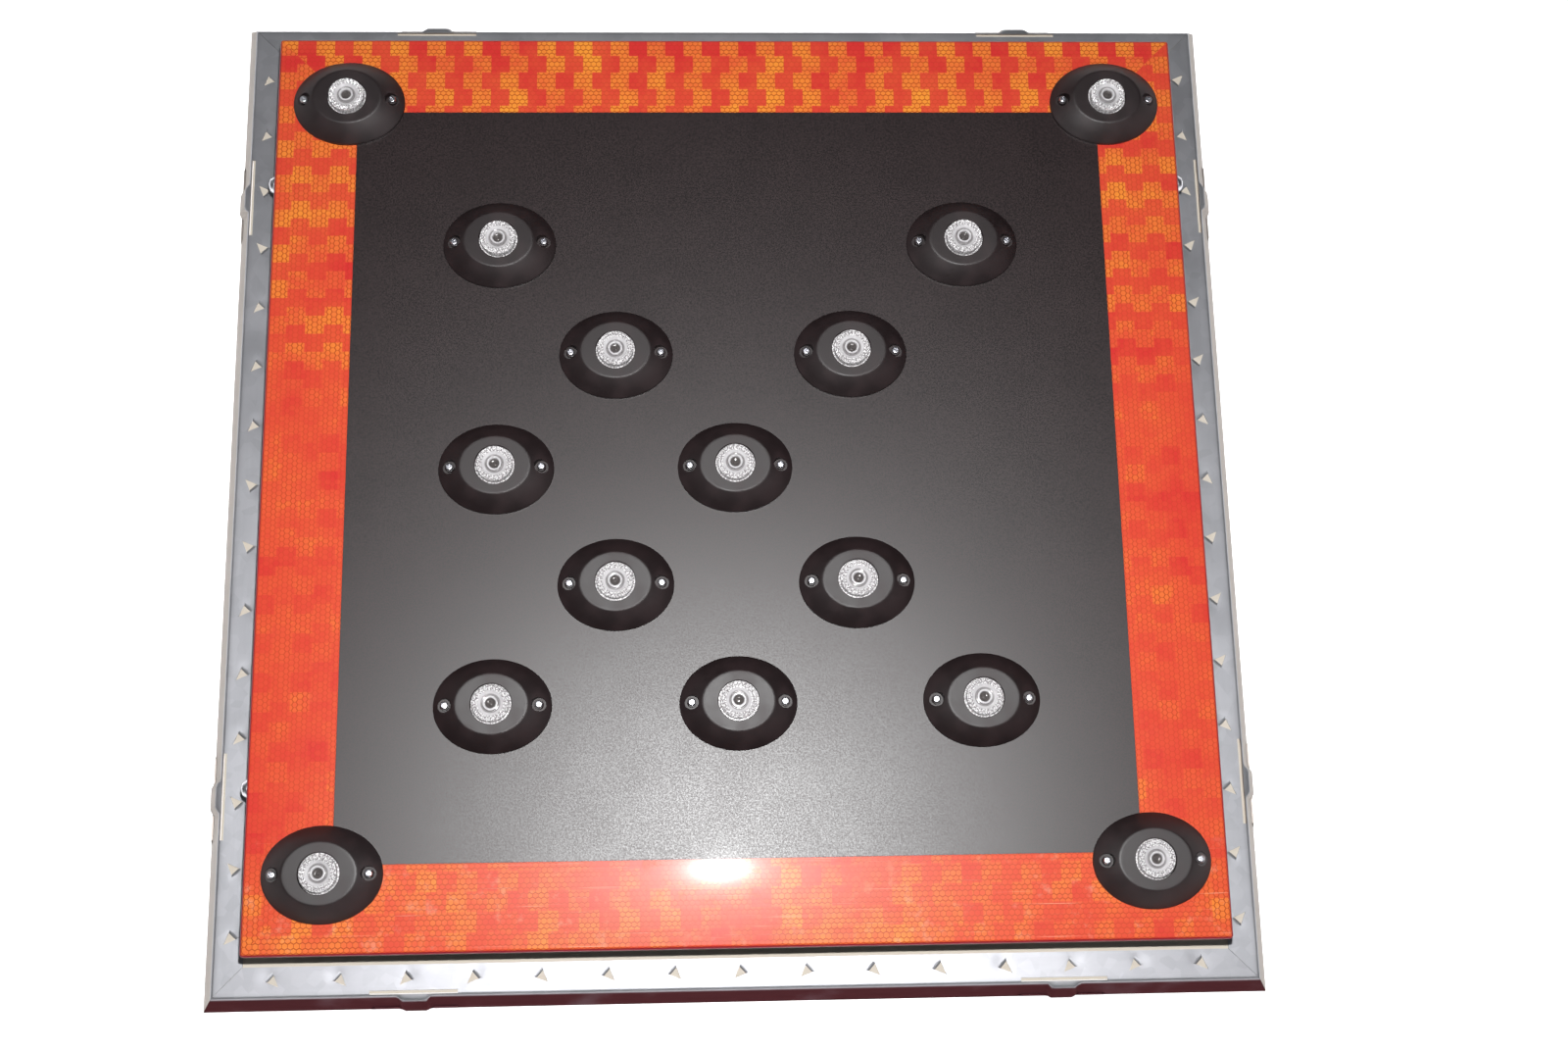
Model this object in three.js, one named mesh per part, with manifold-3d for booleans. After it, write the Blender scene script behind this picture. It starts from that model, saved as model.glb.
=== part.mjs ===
// A square LED arrow board, lying face up on the steel-edged plywood base board of its crate.
// The sign is a folded aluminium tray with a reflective border film, fifteen oval lamps on its face
// and a closed wiring space behind it; two top-hat rails on its back rest on the plywood.
// Millimetres. +Z points out of the sign's face, +Y to the top of the sign. The origin is under the
// middle of the base board, on the surface that it lies on.

import * as THREE from 'three';
import { mergeVertices } from 'three/addons/utils/BufferGeometryUtils.js';
import Module from 'manifold-3d';

// ---------------------------------------------------------------- driving dimensions

const CLEARANCE = 0.3;        // between neighbouring pieces

// Base board
const BOARD = 970;            // across the bend lines of the edge rails
const SKIRT_OUT = 12.5;       // how far the skirt splays outwards
const SKIRT_DROP = 26;        // height of the flange's top face above the floor
const RAIL_SHEET = 1.2;
const FLANGE_WIDTH = 27.5;
const HEM_WIDTH = 8;          // return lip under the skirt, the board's foot
const PLY_THICKNESS = 6;
const PLY_SIDE = 966;
const CLAW_PITCH = 61.5;
const CLAWS_PER_SIDE = 15;
const CLAW_INSET = 15.5;      // from the bend line to the middle of a claw hole
const CLAW_CORNERS = [[0.5, 7.3], [-7, -1], [6.5, -6.4]];
const CLAW_HANDS = [1, 1, -1, -1, 1];   // which way the holes lean, over and over along a side
const SLOT_OFFSET = 301;      // from the middle of a side to the middle of a closure slot
const SLOT_LENGTH = 81;
const SLOT_WIDTH = 3.5;
const TONGUE_LENGTH = 27;
const TONGUE_BULGE = 5;       // beyond the bend line
const TONGUE_FOOT = 14;       // how far its lower end stands out from the bend line

// Sign panel
const PANEL = 900;            // side of the square face, over the film
const PANEL_DEPTH = 36;
const PANEL_SHEET = 1.5;
const EDGE_RADIUS = 3.5;
const CORNER_RADIUS = 3;
const BORDER = 80;
const FILM = 0.3;
const FILM_WRAP = 12;         // how far the border film goes down the panel's sides
const GLUE = 0.2;
const BACK_SHEET = 1.2;
const BACK_UPSTAND = 28;

// Rear mounting rails, top-hat section
const HAT_HEIGHT = 15;
const HAT_CROWN = 32;
const HAT_BRIM = 20;
const HAT_SHEET = 2;
const HAT_LENGTH = 860;
const HAT_OFFSET = 250;       // from the middle of the sign to each rail

// Stiffeners glued behind the face, between the lamp rows
const RIB_LENGTH = 880;
const RIB_WIDTH = 25;
const RIB_HEIGHT = 14;

// Lamps
const LAMP_PITCH = 113.7;     // grid of the arrow and the cross
const LAMP_CORNER = 378.3;    // the four corner lamps
const LAMP_GRID = [
  [-2, 2], [2, 2], [-1, 1], [1, 1], [-2, 0], [0, 0], [-1, -1], [1, -1], [-2, -2], [0, -2], [2, -2],
];
const BASE_OVAL = [54.8, 44.1];      // half length and half width at the face
const TOP_OVAL = [33.5, 28.2];       // of the flat top
const LAMP_HEIGHT = 19;
const LAMP_RIM = 3;                  // upright edge at the foot of the housing
const LENS_RADIUS = 18;
const LENS_FLANGE_RADIUS = 20;
const LENS_FLANGE = 2;
const LENS_SEAT = 13;                // underside of the lens above the lamp's foot
const LENS_PROUD = 5.6;
const LENS_DISH_RADIUS = 8;
const LENS_CONE_RADIUS = 3;
const LENS_SIDES = 14;               // of the lens and of its bore, so that their flats line up
const SCREW_OFFSET = 43.3;
const SCREW_SEAT = 10.3;             // top of the boss under the screw's head, above the lamp's foot
const SCREW_BORE_RADIUS = 2.2;
const SCREW_BOSS_RADIUS = 4.3;
const POCKET_RADIUS = 6.6;           // round pocket about the boss
const POCKET_FLOOR = 6;
const CABLE_HOLE_RADIUS = 10;
const BOARD_RADIUS = 18.5;           // LED circuit board inside each lamp
const BOARD_SEAT = 8;
const BOARD_THICKNESS = 1.6;

// Control unit, cable inlet and wiring inside the sign
const UNIT_SIZE = [140, 100, 22];
const UNIT_CENTRE = [130, -303];
const UNIT_WALL = 2.5;
const GLAND_CENTRE = [-130, -303];
const GLAND_STEM_RADIUS = 8.2;
const BRANCH_CABLE = 4;               // lead of one lamp, of the control unit and of the inlet
const ROW_CABLE = 6;
const SPINE_CABLE = 8;
const TRUNK_HEIGHT = 15;             // middle of the wiring runs above the back cover
const SPINE_X = 30;

// Screws that hold the tray to the back cover: side (-1 left, 1 right) and height on the sign
const SIDE_SCREWS = [[-1, 298], [-1, -298], [1, 298]];
const SIDE_SCREW_HEAD_RADIUS = 8.75;
const SIDE_SCREW_HEAD = 6.5;
const SIDE_SCREW_SHANK_RADIUS = 5;
const SIDE_SCREW_BELOW_FACE = 14;

// Levels, from the floor up
const PLY_TOP = SKIRT_DROP - RAIL_SHEET - CLEARANCE;
const HAT_FOOT = PLY_TOP + CLEARANCE;
const BACK_BOTTOM = HAT_FOOT + HAT_HEIGHT + CLEARANCE;
const BACK_TOP = BACK_BOTTOM + BACK_SHEET;
const TRAY_TOP = BACK_BOTTOM + PANEL_DEPTH;
const TRAY_INSIDE = TRAY_TOP - PANEL_SHEET;
const FILM_BOTTOM = TRAY_TOP + GLUE;
const FACE = FILM_BOTTOM + FILM;
const LAMP_FOOT = FACE + GLUE;
const TRUNK_Z = BACK_TOP + TRUNK_HEIGHT;
const GLAND_TOP = BACK_TOP + 4.5;

// Half sizes across the sign
const FILM_HALF = PANEL / 2;
const TRAY_HALF = FILM_HALF - FILM - GLUE;
const BACK_HALF = TRAY_HALF - PANEL_SHEET - CLEARANCE;
const OPENING_HALF = FILM_HALF - BORDER;

// ---------------------------------------------------------------- solids

const wasm = await Module();
wasm.setup();

function toSolid(geometry) {
  const bare = geometry.clone();
  bare.deleteAttribute('normal');
  bare.deleteAttribute('uv');
  const merged = mergeVertices(bare, 1e-4);
  const vertProperties = new Float32Array(merged.attributes.position.array);
  const triVerts = new Uint32Array(merged.index.array);
  return new wasm.Manifold(new wasm.Mesh({ numProp: 3, vertProperties, triVerts }));
}

function toGeometry(solid) {
  const { vertProperties, triVerts } = solid.getMesh();
  const geometry = new THREE.BufferGeometry();
  geometry.setAttribute('position', new THREE.BufferAttribute(vertProperties, 3));
  geometry.setIndex(new THREE.BufferAttribute(triVerts, 1));
  geometry.computeVertexNormals();
  return geometry;
}

function cutAll(body, cutters) {
  return cutters.reduce((rest, cutter) => rest.subtract(toSolid(cutter)), body);
}

function joinAll(geometries) {
  return geometries.map(toSolid).reduce((whole, piece) => whole.add(piece));
}

// A box between two corners.
function box([x0, y0, z0], [x1, y1, z1]) {
  const geometry = new THREE.BoxGeometry(x1 - x0, y1 - y0, z1 - z0);
  return geometry.translate((x0 + x1) / 2, (y0 + y1) / 2, (z0 + z1) / 2);
}

// An upright cylinder.
function cylinder(radius, z0, z1, sides, x = 0, y = 0) {
  const geometry = new THREE.CylinderGeometry(radius, radius, z1 - z0, sides);
  return geometry.rotateX(Math.PI / 2).translate(x, y, (z0 + z1) / 2);
}

// A turned body about Z; the profile lists [radius, z] from the axis at the bottom to the axis on top.
function turned(profile, sides) {
  const points = profile.map(([radius, z]) => new THREE.Vector2(radius, z));
  return new THREE.LatheGeometry(points, sides).rotateX(Math.PI / 2);
}

// A bar along X with the given [y, z] section.
function bar(section, length) {
  const shape = new THREE.Shape(section.map(([y, z]) => new THREE.Vector2(y, z)));
  const geometry = new THREE.ExtrudeGeometry(shape, { depth: length, bevelEnabled: false });
  return geometry.translate(0, 0, -length / 2).rotateY(Math.PI / 2).rotateX(Math.PI / 2);
}

// A closed body through a stack of convex outlines with the same number of points.
function loft(rings) {
  const count = rings[0].length;
  const last = (rings.length - 1) * count;
  const faces = [];
  for (let start = 0; start < last; start += count) {
    for (let i = 0; i < count; i++) {
      const a = start + i;
      const b = start + (i + 1) % count;
      faces.push(a, b, b + count, a, b + count, a + count);
    }
  }
  for (let i = 1; i < count - 1; i++) {
    faces.push(0, i + 1, i, last, last + i, last + i + 1);
  }
  const geometry = new THREE.BufferGeometry();
  geometry.setAttribute('position', new THREE.Float32BufferAttribute(rings.flat(2), 3));
  geometry.setIndex(faces);
  return geometry;
}

function ovalRing([halfLength, halfWidth], z, points) {
  return Array.from({ length: points }, (_, i) => {
    const angle = (2 * Math.PI * i) / points;
    return [halfLength * Math.cos(angle), halfWidth * Math.sin(angle), z];
  });
}

// A square outline with round corners.
function squareRing(half, radius, z, steps = 2) {
  const ring = [];
  for (let corner = 0; corner < 4; corner++) {
    for (let step = 0; step <= steps; step++) {
      const middle = (corner + 0.5) * (Math.PI / 2);
      const angle = (corner + step / steps) * (Math.PI / 2);
      const cx = Math.sign(Math.cos(middle)) * (half - radius);
      const cy = Math.sign(Math.sin(middle)) * (half - radius);
      ring.push([cx + radius * Math.cos(angle), cy + radius * Math.sin(angle), z]);
    }
  }
  return ring;
}

// A square block with round corners and a rounded top edge.
function softBlock(half, z0, z1, edgeRadius, cornerRadius) {
  const steps = 3;
  const rings = [squareRing(half, cornerRadius, z0)];
  for (let step = 0; step <= steps; step++) {
    const angle = (step / steps) * (Math.PI / 2);
    const inset = edgeRadius * (1 - Math.cos(angle));
    const radius = Math.max(cornerRadius - inset, 0.4);
    rings.push(squareRing(half - inset, radius, z1 - edgeRadius * (1 - Math.sin(angle))));
  }
  return loft(rings);
}

// ---------------------------------------------------------------- the group of sub-parts

const board = new THREE.Group();

function addPart(name, geometry, [color, roughness, metalness], x = 0, y = 0, z = 0) {
  const material = new THREE.MeshStandardMaterial({ color, roughness, metalness });
  const mesh = new THREE.Mesh(geometry, material);
  mesh.name = name;
  mesh.position.set(x, y, z);
  board.add(mesh);
  return mesh;
}

const GALVANISED = [0xb4b6ba, 0.45, 0.9];
const PLYWOOD = [0xdfcfae, 0.8, 0];
const BLACK_PAINT = [0x2b2523, 0.6, 0.1];
const ORANGE_FILM = [0xe2552b, 0.35, 0];
const BLACK_FILM = [0x3a3233, 0.7, 0];
const BLACK_PLASTIC = [0x241d1e, 0.75, 0];
const CLEAR_PLASTIC = [0xd9dcdd, 0.1, 0];
const ALUMINIUM = [0xc3c6c8, 0.4, 0.9];
const STAINLESS = [0xc9c9c9, 0.25, 1];
const GREY_PLASTIC = [0x6d7276, 0.6, 0];
const CABLE_BLACK = [0x1b1b1b, 0.6, 0];

// ---------------------------------------------------------------- base board

// Flange, splayed skirt and hem of the rail along the bottom side, before its cuts.
function railSection() {
  const bend = -BOARD / 2;
  const edge = bend - SKIRT_OUT;
  const lean = SKIRT_OUT / SKIRT_DROP;
  const inner = RAIL_SHEET * Math.hypot(1, lean);
  return [
    [bend + FLANGE_WIDTH, SKIRT_DROP],
    [bend, SKIRT_DROP],
    [edge, 0],
    [edge + HEM_WIDTH, 0],
    [edge + HEM_WIDTH, RAIL_SHEET],
    [edge + inner + lean * RAIL_SHEET, RAIL_SHEET],
    [bend + inner - lean * RAIL_SHEET, SKIRT_DROP - RAIL_SHEET],
    [bend + FLANGE_WIDTH, SKIRT_DROP - RAIL_SHEET],
  ];
}

// The triangular hole that a punched claw leaves.
function clawHole(index) {
  const x = (index - (CLAWS_PER_SIDE - 1) / 2) * CLAW_PITCH;
  const y = -BOARD / 2 + CLAW_INSET;
  const hand = CLAW_HANDS[index % CLAW_HANDS.length];
  const shape = new THREE.Shape(
    CLAW_CORNERS.map(([u, v]) => new THREE.Vector2(x + hand * u, y + v)));
  const hole = new THREE.ExtrudeGeometry(shape, { depth: 3 * RAIL_SHEET, bevelEnabled: false });
  return hole.translate(0, 0, SKIRT_DROP - 2 * RAIL_SHEET);
}

function closureSlot(side) {
  const x = side * SLOT_OFFSET;
  const y = -BOARD / 2 + 1;
  return box(
    [x - SLOT_LENGTH / 2, y, SKIRT_DROP - 2 * RAIL_SHEET],
    [x + SLOT_LENGTH / 2, y + SLOT_WIDTH, SKIRT_DROP + RAIL_SHEET]);
}

// The closure tongue is pressed out of the skirt next to the slot.
function closureTongue(side) {
  const bend = -BOARD / 2;
  const section = [
    [bend + 0.5, SKIRT_DROP - 0.2],
    [bend - TONGUE_BULGE, SKIRT_DROP - 1.5],
    [bend - TONGUE_FOOT, SKIRT_DROP - 21],
    [bend - TONGUE_FOOT + 4, SKIRT_DROP - 21.5],
  ];
  return bar(section, TONGUE_LENGTH).translate(side * SLOT_OFFSET, 0, 0);
}

function edgeRail() {
  const reach = BOARD / 2 + SKIRT_OUT;
  let body = toSolid(bar(railSection(), 2 * reach));
  body = body.add(toSolid(closureTongue(-1))).add(toSolid(closureTongue(1)));
  const claws = Array.from({ length: CLAWS_PER_SIDE }, (_, index) => clawHole(index));
  body = cutAll(body, [...claws, closureSlot(-1), closureSlot(1)]);
  const mitreGap = CLEARANCE / Math.SQRT2;
  const wedge = new THREE.Shape([
    new THREE.Vector2(0, -mitreGap),
    new THREE.Vector2(-reach - 50, -reach - 50 - mitreGap),
    new THREE.Vector2(reach + 50, -reach - 50 - mitreGap),
  ]);
  const sector = new THREE.ExtrudeGeometry(wedge, { depth: 3 * SKIRT_DROP, bevelEnabled: false });
  return toGeometry(body.intersect(toSolid(sector.translate(0, 0, -SKIRT_DROP))));
}

function addBaseBoard() {
  ['bottom', 'right', 'top', 'left'].forEach((side, quarter) => {
    const rail = addPart(`edge_rail_${side}`, edgeRail(), GALVANISED);
    rail.rotation.z = (quarter * Math.PI) / 2;
  });
  const half = PLY_SIDE / 2;
  const sheet = box([-half, -half, PLY_TOP - PLY_THICKNESS], [half, half, PLY_TOP]);
  addPart('plywood_board', sheet, PLYWOOD);
}

// ---------------------------------------------------------------- sign panel

function lampPlaces() {
  const corners = [[-1, 1], [1, 1], [-1, -1], [1, -1]];
  return [
    ...corners.map(([i, j]) => [i * LAMP_CORNER, j * LAMP_CORNER]),
    ...LAMP_GRID.map(([i, j]) => [i * LAMP_PITCH, j * LAMP_PITCH]),
  ];
}

// The hole for a side screw's shank, through the walls of the tray and the back cover.
function sideScrewHole([side, y]) {
  const z = FACE - SIDE_SCREW_BELOW_FACE;
  const radius = SIDE_SCREW_SHANK_RADIUS + CLEARANCE;
  const geometry = new THREE.CylinderGeometry(radius, radius, 20, 12).rotateZ(Math.PI / 2);
  return geometry.translate(side * TRAY_HALF, y, z);
}

function addFaceTray() {
  const inside = TRAY_HALF - PANEL_SHEET;
  const outer = softBlock(TRAY_HALF, BACK_BOTTOM, TRAY_TOP, EDGE_RADIUS - FILM, CORNER_RADIUS);
  const inner = softBlock(inside, BACK_BOTTOM - 5, TRAY_INSIDE, EDGE_RADIUS - PANEL_SHEET, 2);
  const holes = lampPlaces().map(([x, y]) =>
    cylinder(CABLE_HOLE_RADIUS, TRAY_INSIDE - 2, TRAY_TOP + 2, 8, x, y));
  const body = cutAll(toSolid(outer), [inner, ...holes, ...SIDE_SCREWS.map(sideScrewHole)]);
  addPart('face_tray', toGeometry(body), BLACK_PAINT);
}

// The film covers the border, turns over the rounded edge and ends part of the way down the sides.
function addFilms() {
  const skin = softBlock(FILM_HALF, FACE - FILM_WRAP, FACE, EDGE_RADIUS, CORNER_RADIUS + FILM);
  const below = softBlock(FILM_HALF - FILM, FACE - 2 * FILM_WRAP, FILM_BOTTOM, EDGE_RADIUS - FILM,
    CORNER_RADIUS);
  const holes = lampPlaces().map(([x, y]) =>
    cylinder(CABLE_HOLE_RADIUS, FILM_BOTTOM - 2, FACE + 2, 8, x, y));
  const screwClearance = SIDE_SCREWS.map(([side, y]) => {
    const radius = SIDE_SCREW_HEAD_RADIUS + CLEARANCE;
    const notch = new THREE.CylinderGeometry(radius, radius, 20, 16).rotateZ(Math.PI / 2);
    return notch.translate(side * FILM_HALF, y, FACE - SIDE_SCREW_BELOW_FACE);
  });
  const window = box([-OPENING_HALF, -OPENING_HALF, FACE - 5], [OPENING_HALF, OPENING_HALF, FACE + 5]);
  const border = cutAll(toSolid(skin), [below, window, ...holes.slice(0, 4), ...screwClearance]);
  addPart('border_film', toGeometry(border), ORANGE_FILM);

  const half = OPENING_HALF - CLEARANCE;
  const sheet = toSolid(box([-half, -half, FILM_BOTTOM], [half, half, FACE]));
  addPart('centre_film', toGeometry(cutAll(sheet, holes)), BLACK_FILM);
}

function addBackCover() {
  const outer = softBlock(BACK_HALF, BACK_BOTTOM, BACK_BOTTOM + BACK_UPSTAND, 0.4, 2);
  const inner = softBlock(BACK_HALF - BACK_SHEET, BACK_TOP, BACK_TOP + 2 * BACK_UPSTAND, 0.4, 1);
  const inlet = cylinder(GLAND_STEM_RADIUS + CLEARANCE, BACK_BOTTOM - 2, BACK_TOP + 2, 16,
    ...GLAND_CENTRE);
  const body = cutAll(toSolid(outer), [inner, inlet, ...SIDE_SCREWS.map(sideScrewHole)]);
  addPart('back_cover', toGeometry(body), ALUMINIUM);
}

function addSideScrews() {
  const bearing = FILM_HALF + CLEARANCE;
  const shankEnd = BACK_HALF - BACK_SHEET - 6;
  const shank = SIDE_SCREW_SHANK_RADIUS;
  const head = SIDE_SCREW_HEAD_RADIUS;
  const profile = [
    [0, shankEnd], [shank, shankEnd], [shank, bearing], [head, bearing], [head, bearing + 1.5],
    [0.8 * head, bearing + 0.7 * SIDE_SCREW_HEAD], [0.45 * head, bearing + SIDE_SCREW_HEAD],
    [0, bearing + SIDE_SCREW_HEAD],
  ];
  SIDE_SCREWS.forEach(([side, y], index) => {
    const geometry = turned(profile, 12).rotateY((side * Math.PI) / 2);
    const z = FACE - SIDE_SCREW_BELOW_FACE;
    addPart(`side_screw_${index + 1}`, geometry, STAINLESS, 0, y, z);
  });
}

// ---------------------------------------------------------------- stiffening and mounting

// Channels open towards the back, glued to the inside of the face between two lamp rows.
function addStiffeners() {
  const top = TRAY_INSIDE - CLEARANCE;
  const half = RIB_WIDTH / 2;
  const section = [
    [-half, top - RIB_HEIGHT], [-half, top], [half, top], [half, top - RIB_HEIGHT],
    [half - PANEL_SHEET, top - RIB_HEIGHT], [half - PANEL_SHEET, top - PANEL_SHEET],
    [-half + PANEL_SHEET, top - PANEL_SHEET], [-half + PANEL_SHEET, top - RIB_HEIGHT],
  ];
  const rib = bar(section, RIB_LENGTH);
  addPart('stiffener_upper', rib, ALUMINIUM, 0, LAMP_PITCH / 2);
  addPart('stiffener_lower', rib.clone(), ALUMINIUM, 0, -LAMP_PITCH / 2);
}

function addMountingRails() {
  const brim = HAT_CROWN / 2 + HAT_BRIM;
  const crown = HAT_CROWN / 2;
  const top = HAT_FOOT + HAT_HEIGHT;
  const section = [
    [-brim, top], [-brim, top - HAT_SHEET], [-crown, top - HAT_SHEET], [-crown, HAT_FOOT],
    [crown, HAT_FOOT], [crown, top - HAT_SHEET], [brim, top - HAT_SHEET], [brim, top],
    [crown - HAT_SHEET, top], [crown - HAT_SHEET, HAT_FOOT + HAT_SHEET],
    [-crown + HAT_SHEET, HAT_FOOT + HAT_SHEET], [-crown + HAT_SHEET, top],
  ];
  const rail = bar(section, HAT_LENGTH);
  addPart('mounting_rail_upper', rail, ALUMINIUM, 0, HAT_OFFSET);
  addPart('mounting_rail_lower', rail.clone(), ALUMINIUM, 0, -HAT_OFFSET);
}

// ---------------------------------------------------------------- lamps

// Height of the housing's convex side where a share of the way in from its foot to its flat top.
function sideHeight(share) {
  const rise = 0.78 * share + 0.22 * Math.sin((share * Math.PI) / 2);
  return LAMP_RIM + (LAMP_HEIGHT - LAMP_RIM) * rise;
}

function lampHousing() {
  const points = 20;
  const rings = [ovalRing(BASE_OVAL, 0, points)];
  for (const share of [0, 0.5, 1]) {
    const oval = BASE_OVAL.map((size, axis) => size + share * (TOP_OVAL[axis] - size));
    rings.push(ovalRing(oval, sideHeight(share), points));
  }
  const flangeTop = LENS_SEAT + LENS_FLANGE;
  let body = cutAll(toSolid(loft(rings)), [
    cylinder(LENS_FLANGE_RADIUS + CLEARANCE, -1, flangeTop + CLEARANCE, LENS_SIDES),
    cylinder(LENS_RADIUS + CLEARANCE, flangeTop, LAMP_HEIGHT + 1, LENS_SIDES),
  ]);
  for (const x of [-SCREW_OFFSET, SCREW_OFFSET]) {
    body = body.subtract(toSolid(cylinder(POCKET_RADIUS, POCKET_FLOOR, LAMP_HEIGHT, 10, x)));
    body = body.add(toSolid(cylinder(SCREW_BOSS_RADIUS, 2, SCREW_SEAT, 8, x)));
    body = body.subtract(toSolid(cylinder(SCREW_BORE_RADIUS, -1, SCREW_SEAT + 1, 6, x)));
  }
  return toGeometry(body);
}

// Flange below, barrel through the housing, a dished ring of facets and a low cone in the middle.
function lampLens() {
  const top = LAMP_HEIGHT + LENS_PROUD;
  const flange = LENS_FLANGE_RADIUS;
  return turned([
    [0, LENS_SEAT], [flange, LENS_SEAT], [flange, LENS_SEAT + LENS_FLANGE],
    [LENS_RADIUS, LENS_SEAT + LENS_FLANGE], [LENS_RADIUS, top], [LENS_DISH_RADIUS, top - 1.4],
    [LENS_CONE_RADIUS, top - 0.2], [0, top - 0.6],
  ], LENS_SIDES);
}

function addLamps() {
  lampPlaces().forEach(([x, y], index) => {
    const number = String(index + 1).padStart(2, '0');
    addPart(`lamp_housing_${number}`, lampHousing(), BLACK_PLASTIC, x, y, LAMP_FOOT);
    addPart(`lamp_lens_${number}`, lampLens(), CLEAR_PLASTIC, x, y, LAMP_FOOT);
  });
}

// ---------------------------------------------------------------- wiring and control

// A square run of cable between two points that lie on one line along X, Y or Z.
function cableRun([x0, y0, z0], [x1, y1, z1], thickness) {
  const half = thickness / 2;
  return box(
    [Math.min(x0, x1) - half, Math.min(y0, y1) - half, Math.min(z0, z1) - half],
    [Math.max(x0, x1) + half, Math.max(y0, y1) + half, Math.max(z0, z1) + half]);
}

// The LED boards stay joined to their harness: a lead drops from each board through the face to a run
// along its lamp row, and a spine joins the rows to the control unit and the cable inlet.
function addWiringLoom() {
  const places = lampPlaces();
  const ledBoard = LAMP_FOOT + BOARD_SEAT;
  const pieces = places.flatMap(([x, y]) => [
    cylinder(BOARD_RADIUS, ledBoard, ledBoard + BOARD_THICKNESS, 10, x, y),
    box([x - 2.5, y - 2.5, ledBoard + 1], [x + 2.5, y + 2.5, ledBoard + 3.2]),
    cableRun([x, y, TRUNK_Z], [x, y, ledBoard - 1.5], BRANCH_CABLE),
  ]);
  for (const row of new Set(places.map(([, y]) => y))) {
    const ends = [SPINE_X, ...places.filter(([, y]) => y === row).map(([x]) => x)];
    pieces.push(cableRun(
      [Math.min(...ends), row, TRUNK_Z], [Math.max(...ends), row, TRUNK_Z], ROW_CABLE));
  }
  const spineEnd = LAMP_CORNER + 1;
  pieces.push(cableRun([SPINE_X, -spineEnd, TRUNK_Z], [SPINE_X, spineEnd, TRUNK_Z], SPINE_CABLE));
  const half = BRANCH_CABLE / 2;
  const unitSide = UNIT_CENTRE[0] - UNIT_SIZE[0] / 2 - CLEARANCE - half;
  const [glandX, glandY] = GLAND_CENTRE;
  const glandTop = GLAND_TOP + CLEARANCE + half;
  pieces.push(cableRun([glandX, glandY, TRUNK_Z], [unitSide, glandY, TRUNK_Z], BRANCH_CABLE));
  pieces.push(cableRun([glandX, glandY, glandTop], [glandX, glandY, TRUNK_Z - 1], BRANCH_CABLE - 1));
  addPart('wiring_loom', toGeometry(joinAll(pieces)), CABLE_BLACK);
}

function addControlUnit() {
  const [length, width, height] = UNIT_SIZE;
  const [x, y] = UNIT_CENTRE;
  const bottom = BACK_TOP + CLEARANCE;
  const wall = UNIT_WALL;
  const outer = box([-length / 2, -width / 2, 0], [length / 2, width / 2, height]);
  const inner = box(
    [-length / 2 + wall, -width / 2 + wall, wall],
    [length / 2 - wall, width / 2 - wall, height + 1]);
  const tub = cutAll(toSolid(outer), [inner]);
  addPart('control_unit_case', toGeometry(tub), GREY_PLASTIC, x, y, bottom);

  const boardHalf = [length / 2 - wall - 2, width / 2 - wall - 2];
  const circuit = joinAll([
    box([-boardHalf[0], -boardHalf[1], wall + 4], [boardHalf[0], boardHalf[1], wall + 5.6]),
    box([-50, -30, wall + 5], [-20, 30, wall + 15]),
    box([5, -25, wall + 5], [30, 0, wall + 11]),
    box([40, -35, wall + 5], [52, 35, wall + 13]),
    cylinder(4, wall, wall + 5, 8, -boardHalf[0] + 6, 0),
    cylinder(4, wall, wall + 5, 8, boardHalf[0] - 6, 0),
  ]);
  const board = toGeometry(circuit);
  addPart('control_circuit_board', board, [0x1f5a35, 0.5, 0.1], x, y, bottom + CLEARANCE);

  const lidBottom = bottom + height + CLEARANCE;
  const lid = joinAll([
    box([-length / 2, -width / 2, 0], [length / 2, width / 2, wall]),
    box([-length / 2 + wall + 0.4, -width / 2 + wall + 0.4, -3],
      [length / 2 - wall - 0.4, width / 2 - wall - 0.4, 0.5]),
  ]);
  addPart('control_unit_lid', toGeometry(lid), GREY_PLASTIC, x, y, lidBottom);
}

// Cable inlet through the back cover, closed by its sealing plug; no cable is fitted.
function addCableGland() {
  const [x, y] = GLAND_CENTRE;
  const stem = GLAND_STEM_RADIUS;
  const bodyTop = BACK_BOTTOM - CLEARANCE;
  const bodyBottom = bodyTop - 4;
  const body = turned([
    [0, bodyBottom - 6], [4, bodyBottom - 6], [4.5, bodyBottom - 8], [8, bodyBottom - 8],
    [10.5, bodyBottom - 5], [10.5, bodyBottom], [12, bodyBottom], [12, bodyTop],
    [stem, bodyTop], [stem, GLAND_TOP], [0, GLAND_TOP],
  ], 12);
  addPart('cable_gland', body, BLACK_PLASTIC, x, y);

  const nutBottom = BACK_TOP + CLEARANCE;
  const ring = toSolid(cylinder(12, nutBottom, nutBottom + 4, 6));
  const hole = cylinder(stem + CLEARANCE, nutBottom - 1, nutBottom + 5, 12);
  addPart('gland_locknut', toGeometry(cutAll(ring, [hole])), BLACK_PLASTIC, x, y);
}

addBaseBoard();
addFaceTray();
addFilms();
addBackCover();
addSideScrews();
addStiffeners();
addMountingRails();
addLamps();
addWiringLoom();
addControlUnit();
addCableGland();

export default board;
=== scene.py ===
"""The looks of a square LED arrow board that lies on the plywood board of its crate.

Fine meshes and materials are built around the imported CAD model. Lengths in the functions below are
in millimetres and turn into metres where a mesh or an object is made.
"""

import math

import bmesh
import bpy
from mathutils import Matrix, Vector


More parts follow.
